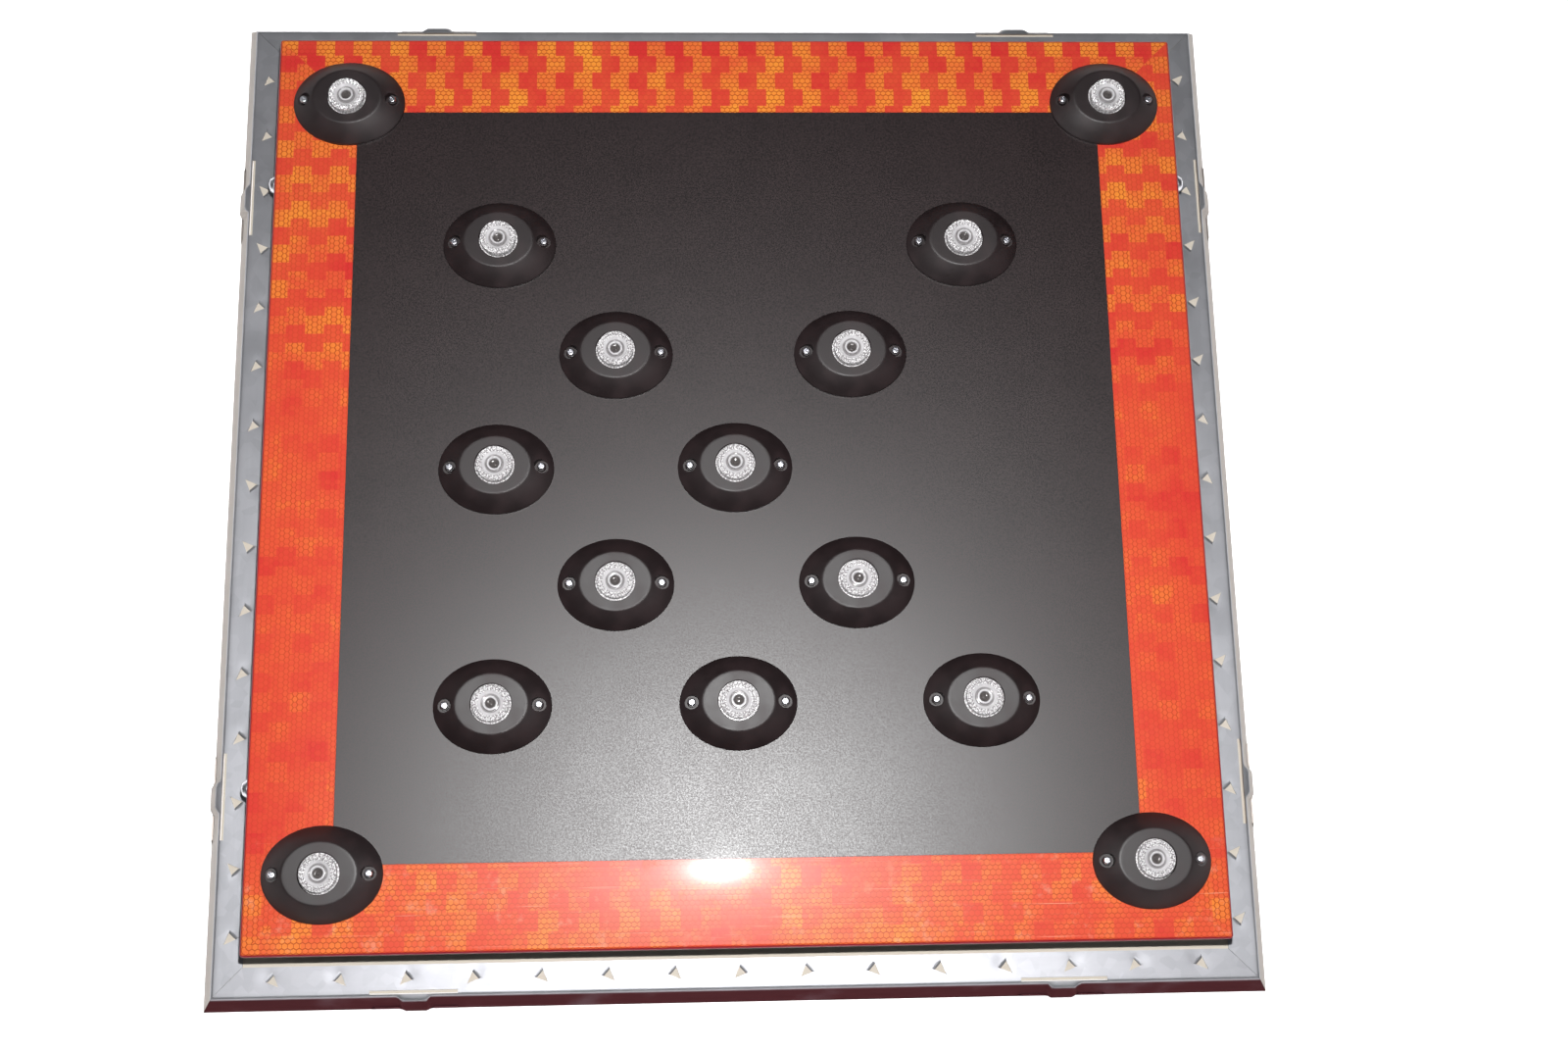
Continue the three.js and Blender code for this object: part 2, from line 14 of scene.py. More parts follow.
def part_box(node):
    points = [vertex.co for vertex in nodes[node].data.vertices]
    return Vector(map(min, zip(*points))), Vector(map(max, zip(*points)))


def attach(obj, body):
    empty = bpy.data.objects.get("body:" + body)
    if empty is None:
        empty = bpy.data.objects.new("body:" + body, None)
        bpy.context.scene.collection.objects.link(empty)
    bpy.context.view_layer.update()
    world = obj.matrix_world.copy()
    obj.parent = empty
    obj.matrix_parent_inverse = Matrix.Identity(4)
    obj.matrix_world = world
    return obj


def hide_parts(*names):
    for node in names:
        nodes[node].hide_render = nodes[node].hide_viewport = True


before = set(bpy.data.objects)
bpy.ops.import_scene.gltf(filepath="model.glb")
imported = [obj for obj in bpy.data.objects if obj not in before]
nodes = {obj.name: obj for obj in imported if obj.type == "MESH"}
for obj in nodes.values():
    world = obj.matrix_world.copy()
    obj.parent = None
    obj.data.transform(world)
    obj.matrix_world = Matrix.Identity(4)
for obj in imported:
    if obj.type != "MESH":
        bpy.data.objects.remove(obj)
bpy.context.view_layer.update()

MM = 0.001
FACE_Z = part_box("border_film")[1].z / MM        # the sign's face above the floor

# ---------------------------------------------------------------- sizes, in millimetres

BEND = 485                     # from the middle of the board to the bend line of its steel edge
SKIRT_OUT = 12.5
SKIRT_DROP = 26                # also the height of the flange's top above the floor
SHEET = 1.2
FLANGE_WIDTH = 27.5
HEM_WIDTH = 8
MITRE_GAP = 0.2
PLY_LAYER = 1.2
SPANGLES_PER_MM = 0.09         # crystals in the zinc
CLAW_PITCH = 61.5
CLAWS_PER_SIDE = 15
CLAW_INSET = 15.5
CLAW_CORNERS = ((0.5, 7.3), (-7, -1), (6.5, -6.4))
CLAW_HANDS = (1, 1, -1, -1, 1)                  # which way the holes lean, over and over along a side
SLOT_OFFSET = 301
SLOT_LENGTH = 81
SLOT_WIDTH = 3.5
SLOT_INSET = 1                 # from the bend line
TONGUE_LENGTH = 27
TONGUE_BULGE = 3.9
NOTCH_HEIGHT = 3               # the skirt's foot is cut away beside the tongues
DENT_DEPTH = 0.45              # the flange is pressed down round each claw's root
DENT_RADIUS = 6
DENT_OFFSET = 3.5              # from the middle of the claw hole, along and across

PANEL_HALF = 450
WINDOW_HALF = 370
WINDOW_CORNER = 0.5
EDGE_RADIUS = 3.5
CORNER_RADIUS = 3.3
FILM = 0.3
FILM_WRAP = 12

LAMPS = 15
LAMP_RIM = 3
LAMP_POINTS = 96               # round a housing
SIDE_BULGE = 0.74              # how far the housing's side curves out between its rim and its top
TOP_OVAL = (33.5, 28.2)
POCKET_RADIUS = 6.6
POCKET_FLOOR = 6
BOSS_RADIUS = 4.3
SCREW_OFFSET = 43.3
SCREW_SEAT = 10.3
SCREW_HEAD_RADIUS = 3.6
SCREW_HEAD = 3
SCREW_SHANK_RADIUS = 1.6
SCREW_HOLE_RADIUS = 1.9
CROSS_LENGTH = 4.2             # of the recess in the screw's head
CROSS_WIDTH = 0.8
CROSS_DEPTH = 1.6
LENS_BORE = 18.8
LENS_RADIUS = 17.1
LENS_FLANGE_RADIUS = 20
LENS_SEAT = 13
LENS_FLANGE_TOP = 15
LENS_TOP = 24.5
LENS_POINTS = 64               # round the bore
CLEARANCE = 0.3                # between a lens and its housing
BEADS = 24                     # bright facets round the rim of a lens
BEAD_ROW = 2.2
BEAD_HEIGHT = 0.9

SIDE_SCREWS = 3
SIDE_SCREW_HEAD = 6.5
SIDE_SCREW_RADIUS = 8.75
SIDE_SHANK_RADIUS = 5
SOCKET_RADIUS = 3.4
SOCKET_DEPTH = 3.2

HEX_PITCH = 5.25               # across the flats of a honeycomb cell
HEX_HALF = (0.5, math.sqrt(3) / 2, 0.5)         # half of the honeycomb's repeat, in pitches
TILE_LENGTH = 3.5 * HEX_PITCH  # of the bright and dark tiles, along a strip of the film
TILE_WIDTH = 4 * HEX_HALF[1] * HEX_PITCH

FLOOR_HALF = 25000


# ---------------------------------------------------------------- mesh tools


def rounded(corners, radii, steps=5):
    """An open 2-D line through the corners, with each inner corner rounded to its radius."""
    points = [Vector(corners[0])]
    for before, corner, after, radius in zip(corners, corners[1:], corners[2:], radii):
        middle = Vector(corner)
        back = Vector(before) - middle
        ahead = Vector(after) - middle
        if radius == 0:
            points.append(middle)
            continue
        reach = radius / math.tan(back.angle(ahead) / 2)
        reach = min(reach, 0.49 * back.length, 0.49 * ahead.length)
        start = middle + back.normalized() * reach
        end = middle + ahead.normalized() * reach
        for step in range(steps + 1):
            t = step / steps
            points.append((1 - t) ** 2 * start + 2 * t * (1 - t) * middle + t * t * end)
    points.append(Vector(corners[-1]))
    return points


def resampled(points, spacing):
    """The same line with its long stretches divided."""
    line = [points[0]]
    for start, end in zip(points, points[1:]):
        parts = max(1, round((end - start).length / spacing))
        line += [start.lerp(end, part / parts) for part in range(1, parts + 1)]
    return line


def skin(rings, ends="caps"):
    """A bmesh through rings with equal numbers of points: capped at its ends, or joined end to end."""
    bm = bmesh.new()
    rows = [[bm.verts.new(point) for point in ring] for ring in rings]
    pairs = list(zip(rows, rows[1:]))
    if ends == "joined":
        pairs.append((rows[-1], rows[0]))
    count = len(rings[0])
    for low, high in pairs:
        for i in range(count):
            j = (i + 1) % count
            bm.faces.new((low[i], low[j], high[j], high[i]))
    if ends == "caps":
        bm.faces.new(reversed(rows[0]))
        bm.faces.new(rows[-1])
    bmesh.ops.remove_doubles(bm, verts=bm.verts, dist=1e-4)
    bmesh.ops.recalc_face_normals(bm, faces=bm.faces)
    return bm


def turned(profile, sides):
    """A bmesh turned about Z from [radius, z] points that start and end on the axis."""
    return skin([round_ring(radius, z, sides) for radius, z in profile])


def prism(outline, low, high):
    """An upright bmesh prism over a 2-D outline."""
    return skin([[(x, y, z) for x, y in outline] for z in (low, high)])


def box_outline(x0, y0, x1, y1):
    """The four corners of a rectangle."""
    return [(x0, y0), (x1, y0), (x1, y1), (x0, y1)]


def circle(radius, sides, x=0):
    """A circle's points round a middle on the X axis."""
    angles = [2 * math.pi * i / sides for i in range(sides)]
    return [(x + radius * math.cos(a), radius * math.sin(a)) for a in angles]


def round_ring(radius, z, sides, x=0):
    """The same circle's points at a height."""
    return [(px, py, z) for px, py in circle(radius, sides, x)]


def oval(half_sizes, z, points):
    """The points of an ellipse at a height."""
    a, b = half_sizes
    angles = [2 * math.pi * i / points for i in range(points)]
    return [(a * math.cos(t), b * math.sin(t), z) for t in angles]


def square_ring(half, radius, z):
    """A square outline with round corners."""
    steps = 6
    ring = []
    for corner in range(4):
        middle = (corner + 0.5) * math.pi / 2
        cx = math.copysign(half - radius, math.cos(middle))
        cy = math.copysign(half - radius, math.sin(middle))
        for step in range(steps + 1):
            angle = (corner + step / steps) * math.pi / 2
            ring.append((cx + radius * math.cos(angle), cy + radius * math.sin(angle), z))
    return ring


def joined(meshes):
    """Several bmeshes as one."""
    whole = bmesh.new()
    for bm in meshes:
        loose = bpy.data.meshes.new("loose")
        bm.to_mesh(loose)
        bm.free()
        whole.from_mesh(loose)
        bpy.data.meshes.remove(loose)
    return whole


def to_mesh(bm, name, smooth_angle=35):
    """A mesh in metres, smooth except at edges sharper than the angle in degrees."""
    bmesh.ops.scale(bm, vec=(MM, MM, MM), verts=bm.verts)
    mesh = bpy.data.meshes.new(name)
    bm.to_mesh(mesh)
    bm.free()
    mesh.shade_smooth()
    mesh.set_sharp_from_angle(angle=math.radians(smooth_angle))
    return mesh


def carved(bm, cutters, name, smooth_angle=35):
    """The mesh that is left when the cutters are taken from a body."""
    body = bpy.data.objects.new("body", to_mesh(bm, name))
    tool = bpy.data.objects.new("tool", to_mesh(joined(cutters), "tool"))
    for made in (body, tool):
        bpy.context.scene.collection.objects.link(made)
    modifier = body.modifiers.new("cut", "BOOLEAN")
    modifier.operation = "DIFFERENCE"
    modifier.solver = "EXACT"
    modifier.use_self = True
    modifier.object = tool
    graph = bpy.context.evaluated_depsgraph_get()
    mesh = bpy.data.meshes.new_from_object(body.evaluated_get(graph))
    mesh.name = name
    bpy.data.objects.remove(body)
    bpy.data.objects.remove(tool)
    mesh.shade_smooth()
    mesh.set_sharp_from_angle(angle=math.radians(smooth_angle))
    return mesh


def place(name, mesh, body, material, at=(0, 0, 0), turn=None, replaces=()):
    """An object in the row frame that rides on a CAD body."""
    piece = bpy.data.objects.new(name, mesh)
    bpy.context.scene.collection.objects.link(piece)
    piece.matrix_world = Matrix.Translation(at) @ (turn or Matrix.Identity(4))
    if not mesh.materials:
        mesh.materials.append(material)
    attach(piece, body)
    if replaces:
        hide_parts(*replaces)


# ---------------------------------------------------------------- material tools


def srgb(red, green, blue):
    """A screen colour from 0 to 255 as the linear colour that Blender takes."""
    def linear(value):
        share = value / 255
        return share / 12.92 if share <= 0.04045 else ((share + 0.055) / 1.055) ** 2.4
    return (linear(red), linear(green), linear(blue), 1)


class Paint:
    """A Principled material and short ways to add the nodes that feed it.

    Its place is the shaded point in the object's own frame, in millimetres.
    """

    def __init__(self, name, **sockets):
        self.material = bpy.data.materials.new(name)
        self.material.use_nodes = True
        self.tree = self.material.node_tree
        self.shader = self.tree.nodes["Principled BSDF"]
        for socket, value in sockets.items():
            title = socket.replace("_", " ").title().replace("Ior", "IOR")
            self.feed(self.shader.inputs[title], value)
        coordinates = self.tree.nodes.new("ShaderNodeTexCoord")
        self.place = self.vector("MULTIPLY", coordinates.outputs["Object"], (1 / MM, 1 / MM, 1 / MM))

    def feed(self, socket, value):
        if isinstance(value, bpy.types.NodeSocket):
            self.tree.links.new(value, socket)
        else:
            socket.default_value = value

    def node(self, kind, inputs, output=0, **settings):
        node = self.tree.nodes.new("ShaderNode" + kind)
        for name, value in settings.items():
            setattr(node, name, value)
        for key, value in inputs.items():
            self.feed(node.inputs[key], value)
        return node.outputs[output]

    def math(self, operation, a, b=0.0, c=0.0):
        return self.node("Math", {0: a, 1: b, 2: c}, operation=operation)

    def total(self, *terms, base=0.0):
        """The base plus each term's value times its weight."""
        for value, weight in terms:
            base = self.math("MULTIPLY_ADD", value, weight, base)
        return base

    def vector(self, operation, a, b=(0, 0, 0), c=(0, 0, 0)):
        output = "Value" if operation == "LENGTH" else 0
        return self.node("VectorMath", {0: a, 1: b, 2: c}, output=output, operation=operation)

    def axes(self, vector):
        """The vector's x, y and z."""
        node = self.tree.nodes.new("ShaderNodeSeparateXYZ")
        self.feed(node.inputs[0], vector)
        return node.outputs[0], node.outputs[1], node.outputs[2]

    def combine(self, x, y, z=0.0):
        return self.node("CombineXYZ", {0: x, 1: y, 2: z})

    def ramp(self, value, low, high, start=0.0, end=1.0, smooth=True):
        """start where the value is at low, end where it is at high, and no further."""
        kind = "SMOOTHSTEP" if smooth else "LINEAR"
        inputs = {"Value": value, "From Min": low, "From Max": high, "To Min": start, "To Max": end}
        return self.node("MapRange", inputs, interpolation_type=kind)

    def mix(self, share, a, b):
        """Colour a where share is 0, colour b where it is 1."""
        node = self.tree.nodes.new("ShaderNodeMix")
        node.data_type = "RGBA"
        self.feed(node.inputs[0], share)
        self.feed(node.inputs[6], a)
        self.feed(node.inputs[7], b)
        return node.outputs[2]

    def choose(self, share, a, b):
        """Vector a where share is 0, vector b where it is 1."""
        node = self.tree.nodes.new("ShaderNodeMix")
        node.data_type = "VECTOR"
        self.feed(node.inputs[0], share)
        self.feed(node.inputs[4], a)
        self.feed(node.inputs[5], b)
        return node.outputs[1]

    def around_zero(self, value):
        """A value from 0 to 1, moved to run from -0.5 to 0.5."""
        return self.math("SUBTRACT", value, 0.5)

    def noise(self, size, detail=2.0, stretch=(1, 1, 1), roughness=0.5):
        """Noise from 0 to 1 whose lumps are about size millimetres across."""
        vector = self.vector("MULTIPLY", self.place, tuple(s / size for s in stretch))
        inputs = {"Vector": vector, "Scale": 1.0, "Detail": detail, "Roughness": roughness}
        return self.node("TexNoise", inputs)

    def chance(self, vector):
        """A random number from 0 to 1 for each different vector."""
        return self.node("TexWhiteNoise", {"Vector": vector}, noise_dimensions="3D")

    def bump(self, height, depth):
        """Bumps up to depth millimetres high."""
        inputs = {"Strength": 1.0, "Distance": depth * MM, "Height": height}
        self.feed(self.shader.inputs["Normal"], self.node("Bump", inputs))

    def colour(self, value):
        self.feed(self.shader.inputs["Base Color"], value)

    def roughness(self, value):
        self.feed(self.shader.inputs["Roughness"], value)


# ---------------------------------------------------------------- materials


def galvanised_steel(name, skirt_dark, skirt_light, edge_tint):
    """Zinc with faint spangle and rubbed streaks, and painted shade on the splayed skirt below the bend.
    """
    paint = Paint(name, metallic=0.85, specular_tint=edge_tint)
    cell = paint.node("TexVoronoi", {"Vector": paint.place, "Scale": SPANGLES_PER_MM}, output="Color")
    spangle, _, _ = paint.axes(cell)
    cloud = paint.noise(60, detail=4)
    streak = paint.noise(3, detail=3, stretch=(0.08, 1, 1))
    tone = paint.total((spangle, 0.25), (cloud, 0.75))
    zinc = paint.mix(tone, srgb(164, 165, 170), srgb(200, 201, 206))
    _, _, z = paint.axes(paint.place)
    below_bend = paint.ramp(z, SKIRT_DROP - 0.8, SKIRT_DROP - 5)
    # Painted shade: below the bend the skirt is darkened towards skirt_dark and skirt_light. On the bottom
    # rail a red-brown edge_tint on the reflections adds to it.
    skirt_shade = paint.math("MULTIPLY", below_bend, paint.ramp(cloud, 0.2, 0.5, 0.85, 1))
    paint.colour(paint.mix(skirt_shade, zinc, paint.mix(streak, skirt_dark, skirt_light)))
    paint.roughness(paint.total((streak, 0.08), (cloud, 0.12), base=0.42))
    paint.bump(paint.total((streak, 1.0), (cloud, 3.0)), 0.05)
    return paint.material


def plywood():
    """Pale, fine-grained birch with its layers on the edges."""
    paint = Paint("plywood", roughness=0.7)
    grain = paint.noise(2.2, detail=5, stretch=(0.04, 1, 1), roughness=0.6)
    wave = paint.noise(90, detail=3, stretch=(0.2, 1, 1))
    tone = paint.total((grain, 0.5), (wave, 0.5))
    face = paint.mix(tone, srgb(208, 197, 180), srgb(234, 226, 213))
    _, _, z = paint.axes(paint.place)
    layer = paint.math("PINGPONG", paint.math("MULTIPLY", z, 1 / PLY_LAYER), 1.0)
    edge = paint.mix(paint.ramp(layer, 0.4, 0.6), srgb(150, 116, 82), srgb(222, 200, 166))
    normal = paint.node("NewGeometry", {}, output="Normal")
    _, _, up = paint.axes(normal)
    side = paint.math("LESS_THAN", paint.math("ABSOLUTE", up), 0.5)
    paint.colour(paint.mix(side, face, edge))
    paint.bump(grain, 0.08)
    return paint.material


def tray_paint():
    """Satin powder coat, brownish black, with a red cast that is painted bounce light from the orange
    film.
    """
    paint = Paint("tray_paint", coat_weight=0.1, coat_roughness=0.25)
    peel = paint.noise(1.4, detail=2)
    wear = paint.noise(35, detail=5)
    # Both colours carry the painted red bounce light, and the wear cloud mixes between them.
    paint.colour(paint.mix(paint.ramp(wear, 0.55, 0.75, 0, 0.5), srgb(46, 27, 29), srgb(68, 45, 47)))
    paint.roughness(paint.ramp(wear, 0.3, 0.7, 0.42, 0.6))
    paint.bump(peel, 0.03)
    return paint.material


def honeycomb(paint, along, across):
    """How far a point is from the middle of its cell, 0.5 at the walls, and where the middle is."""
    point = paint.combine(paint.math("DIVIDE", along, HEX_PITCH), paint.math("DIVIDE", across, HEX_PITCH))
    low = tuple(-half for half in HEX_HALF)
    near = paint.vector("WRAP", point, HEX_HALF, low)
    shifted = paint.vector("WRAP", paint.vector("ADD", point, HEX_HALF), HEX_HALF, low)
    further = paint.math("GREATER_THAN", paint.vector("LENGTH", near), paint.vector("LENGTH", shifted))
    offset = paint.choose(further, near, shifted)
    ox, oy, _ = paint.axes(paint.vector("ABSOLUTE", offset))
    slanted = paint.total((ox, 0.5), (oy, HEX_HALF[1]))
    return paint.math("MAXIMUM", ox, slanted), paint.vector("SUBTRACT", point, offset)


def strip_coordinates(paint):
    """A point along its strip and in from the strip's edge, its y, 1 on the two upright strips and 0
    on the others, and how far it is down past the face's edge, from 0 to 1: the mask for the painted shade
    on the rounded edge and side."""
    x, y, z = paint.axes(paint.place)
    upright = paint.math("GREATER_THAN", paint.math("ABSOLUTE", x), paint.math("ABSOLUTE", y))
    # On the right strip the tiles are shifted by one.
    shifted = paint.math("MULTIPLY_ADD", paint.math("GREATER_THAN", x, 0.0), TILE_LENGTH, y)
    along = paint.node("Mix", {0: upright, 2: x, 3: shifted})
    outwards = paint.math("MAXIMUM", paint.math("ABSOLUTE", x), paint.math("ABSOLUTE", y))
    down = paint.math("MAXIMUM", paint.math("SUBTRACT", FACE_Z, z), 0.0)
    inwards = paint.math("SUBTRACT", paint.math("SUBTRACT", PANEL_HALF, outwards), down)
    return along, inwards, y, upright, paint.ramp(down, 0.05, 0.7)


def tiles(paint, along, inwards):
    """The row and column of the tile that a point is in, odd rows shifted by half a tile."""
    row = paint.math("FLOOR", paint.math("DIVIDE", inwards, TILE_WIDTH))
    shift = paint.total((paint.math("PINGPONG", row, 1.0), -0.5), base=0.5)
    column = paint.math("ADD", paint.math("DIVIDE", along, TILE_LENGTH), shift)
    return row, paint.math("FLOOR", column)


def border_film():
    """Orange-red reflective sheeting: honeycomb cells in staggered tiles, every other one brighter, with
    painted light on it: brighter tiles by height on the sign, glints in the bottom strip and shade down
    the rounded edge.
    """
    paint = Paint("border_film", specular_ior_level=0.2, coat_weight=0.05, coat_roughness=0.12)
    along, inwards, y, upright, edge_shade = strip_coordinates(paint)
    wall, cell = honeycomb(paint, along, inwards)
    row, column = tiles(paint, along, inwards)
    high = paint.ramp(y, 40, 190)
    low = paint.ramp(y, -330, -400)
    top_row = paint.math("MULTIPLY", paint.math("LESS_THAN", row, 1.0), paint.ramp(y, 400, 420))
    # Painted light: the bright and dark tiles stand out most, and the film is lighter and yellower, in the
    # upper part and in the topmost row. The bottom strip is also made a little brighter.
    upper_contrast = paint.total((upright, -0.12), base=0.4)
    contrast = paint.total((high, upper_contrast), (low, 0.04), (top_row, 0.15), base=0.12)
    tone = paint.total(
        (paint.math("SUBTRACT", 0.5, paint.math("PINGPONG", column, 1.0)), contrast),
        (paint.around_zero(paint.chance(paint.combine(column, row, upright))), 0.2),
        (paint.around_zero(paint.chance(cell)), 0.12),
        (paint.around_zero(paint.noise(80, detail=3)), 1.0),
        (high, 0.12),
        (low, 0.18),
        base=0.36)
    film = paint.mix(paint.ramp(tone, 0.0, 0.5, smooth=False), srgb(226, 58, 56), srgb(240, 98, 62))
    film = paint.mix(paint.ramp(tone, 0.5, 1.0, smooth=False), film, srgb(255, 164, 62))
    line = paint.math("MULTIPLY", paint.ramp(wall, 0.42, 0.49), paint.ramp(tone, 0.2, 0.75, 0.25, 0.8))
    film = paint.mix(line, film, srgb(190, 58, 24))
    # Smudges and scratches are real marks. In the bottom strip they are drawn pale pink as painted glints,
    # and the smudges also set the roughness.
    smudge_and_glint = paint.ramp(paint.noise(14, detail=5, roughness=0.6), 0.55, 0.75)
    scratch_glint = paint.ramp(paint.noise(1.1, detail=2, stretch=(0.012, 1, 1)), 0.68, 0.76)
    wear = paint.total((scratch_glint, 0.5), (smudge_and_glint, 0.3))
    film = paint.mix(paint.math("MULTIPLY", wear, low), film, srgb(255, 198, 168))
    # Painted shade: the film down the rounded edge and side is drawn dark crimson.
    paint.colour(paint.mix(edge_shade, film, srgb(150, 22, 40)))
    paint.roughness(paint.total((smudge_and_glint, 0.1), base=0.33))
    paint.bump(paint.total((paint.noise(26, detail=2), 3.0), (line, -1.0)), 0.02)
    return paint.material


def centre_film():
    """Matt black sheeting with a fine light speckle."""
    paint = Paint("centre_film", specular_ior_level=1.0, coat_weight=0.01, coat_roughness=0.1)
    speck = paint.noise(1.6, detail=3, roughness=0.8)
    cloud = paint.noise(45, detail=3)
    tone = paint.total((speck, 0.93), (cloud, 0.07))
    paint.colour(paint.mix(paint.ramp(tone, 0.38, 0.62), srgb(14, 2, 3), srgb(42, 20, 22)))
    paint.roughness(paint.ramp(tone, 0.35, 0.65, 0.37, 0.5))
    paint.bump(speck, 0.03)
    return paint.material


def lamp_plastic():
    """Black moulded plastic with a fine spark-eroded grain."""
    paint = Paint("lamp_plastic", specular_ior_level=0.9)
    grain = paint.noise(0.7, detail=2, roughness=0.7)
    cloud = paint.noise(25, detail=4)
    paint.colour(paint.mix(paint.ramp(cloud, 0.4, 0.7), srgb(26, 11, 13), srgb(38, 21, 23)))
    paint.roughness(paint.ramp(cloud, 0.3, 0.7, 0.5, 0.58))
    paint.bump(grain, 0.035)
    return paint.material


def lens_clear():
    """Clear prismatic plastic, drawn opaque. Its bright, slightly grey colour is painted light coming back
    through the lens, with painted glints on the facets and painted shade in the groove and the middle
    bowl.
    """
    paint = Paint("lens_clear", metallic=0.05, coat_weight=0.8, coat_roughness=0.05)
    x, y, _ = paint.axes(paint.place)
    radius = paint.vector("LENGTH", paint.combine(x, y))
    prisms = paint.ramp(paint.noise(1.5, detail=1), 0.4, 0.6)
    rim = paint.ramp(radius, 11.0, 12.5)
    # Painted light: the near-white dish and facet colours stand in for light coming back through the clear
    # lens, and the prisms noise makes painted glints on the facets.
    dish = paint.mix(paint.noise(5, detail=3), srgb(206, 202, 205), srgb(252, 250, 252))
    facets = paint.mix(prisms, srgb(166, 161, 163), srgb(255, 253, 254))
    painted_lens_light = paint.mix(rim, dish, facets)
    # Painted shade: the groove and the middle bowl are drawn dark grey.
    groove_shade = paint.math("MULTIPLY", paint.ramp(radius, 9.6, 8.4), paint.ramp(radius, 6.4, 7.2))
    dark = paint.total((paint.ramp(radius, 5.2, 4.2), 1.0), (groove_shade, 0.7))
    paint.colour(paint.mix(dark, painted_lens_light, srgb(92, 87, 86)))
    paint.roughness(paint.ramp(prisms, 0, 1, 0.12, 0.24))
    paint.bump(paint.noise(1.6, detail=2), 0.08)
    return paint.material


def brushed_metal(name, dark, light, rough, stretch):
    """Bare metal with a fine grain, which stretch can draw out into lines."""
    paint = Paint(name, metallic=1.0)
    lines = paint.noise(0.9, detail=4, stretch=stretch, roughness=0.7)
    cloud = paint.noise(40, detail=4)
    tone = paint.total((lines, 0.5), (cloud, 0.5))
    paint.colour(paint.mix(tone, dark, light))
    paint.roughness(paint.ramp(tone, 0.3, 0.7, rough, rough + 0.15))
    paint.bump(lines, 0.02)
    return paint.material


def moulded(name, dark, light, rough):
    """Plain moulded plastic, rubber or board with a fine grain."""
    paint = Paint(name)
    grain = paint.noise(0.8, detail=2)
    cloud = paint.noise(20, detail=4)
    paint.colour(paint.mix(cloud, dark, light))
    paint.roughness(paint.ramp(cloud, 0.3, 0.7, rough, rough + 0.12))
    paint.bump(grain, 0.03)
    return paint.material


# ---------------------------------------------------------------- base board


def rail_section():
    """The rail's closed outline as [distance in from the bend line, height]."""
    lean = SKIRT_OUT / SKIRT_DROP
    inner = SHEET * math.hypot(1, lean)
    outer = rounded(
        [(FLANGE_WIDTH, SKIRT_DROP), (0, SKIRT_DROP), (-SKIRT_OUT, 0), (HEM_WIDTH - SKIRT_OUT, 0)],
        [3.5, 1.2])
    inside = rounded(
        [(HEM_WIDTH - SKIRT_OUT, SHEET), (-SKIRT_OUT + inner + lean * SHEET, SHEET),
         (inner - lean * SHEET, SKIRT_DROP - SHEET), (FLANGE_WIDTH, SKIRT_DROP - SHEET)],
        [0.8, 2.4])
    return resampled(outer, 3) + resampled(inside, 6)


def claw_places():
    """Where each claw hole of a side is, and which way it leans."""
    for index in range(CLAWS_PER_SIDE):
        x = (index - (CLAWS_PER_SIDE - 1) / 2) * CLAW_PITCH
        yield x, -BEND + CLAW_INSET, CLAW_HANDS[index % len(CLAW_HANDS)]


def claw_corners(x, y, hand):
    """The corners of a claw hole: the two ends of the bend that it hangs on, and its tip."""
    return [Vector((x + hand * u, y + v)) for u, v in CLAW_CORNERS]


def rail_shift(x, y, z):
    """How far the skirt is pressed outwards at a tongue, and the sheet down at a claw or up at a notch."""
    # Each share runs from 0 to 1 over a few millimetres, so the sheet bends and doesn't step.
    along = abs(abs(x) - SLOT_OFFSET)
    side = min(1, max(0, (TONGUE_LENGTH / 2 + 1 - along) / 3))
    past_bend = min(1, max(0, (-BEND + 1 - y) / 1.8))
    above_foot = min(1, max(0, (z - 0.8) / 4))
    out = TONGUE_BULGE * side * past_bend * above_foot
    down = 0
    at_foot = y < -BEND - SKIRT_OUT / 2 and z < 4
    if at_foot and side == 0 and along < SLOT_LENGTH / 2:
        down = -NOTCH_HEIGHT
    if z > SKIRT_DROP - 2 * SHEET and y > -BEND + 4:
        nearest = round(x / CLAW_PITCH)
        if abs(nearest) <= (CLAWS_PER_SIDE - 1) / 2:
            hand = CLAW_HANDS[(nearest + (CLAWS_PER_SIDE - 1) // 2) % len(CLAW_HANDS)]
            root = Vector((nearest * CLAW_PITCH - DENT_OFFSET * hand, -BEND + CLAW_INSET + DENT_OFFSET))
            down = DENT_DEPTH * math.exp(-((Vector((x, y)) - root).length / DENT_RADIUS) ** 2)
    return out, down


def claw_tooth(x, y, hand):
    """The root of a claw where it bends down from the edge of its hole into the plywood."""
    start, end, tip = claw_corners(x, y, hand)
    middle = (start + end) / 2
    inward = (tip - middle).normalized()
    rings = []
    for reach, drop, width in ((-0.6, 0.4, 0.95), (1.2, 0.6, 0.9), (2.4, 1.2, 0.8), (3.4, 2.2, 0.66)):
        half = (end - start) * (width / 2)
        top = SKIRT_DROP - drop
        centre = middle + inward * reach
        left = centre - half
        right = centre + half
        rings.append([
            (left.x, left.y, top), (centre.x, centre.y, top + 0.15), (right.x, right.y, top),
            (right.x, right.y, top - 0.8), (left.x, left.y, top - 0.8)])
    return skin(rings)


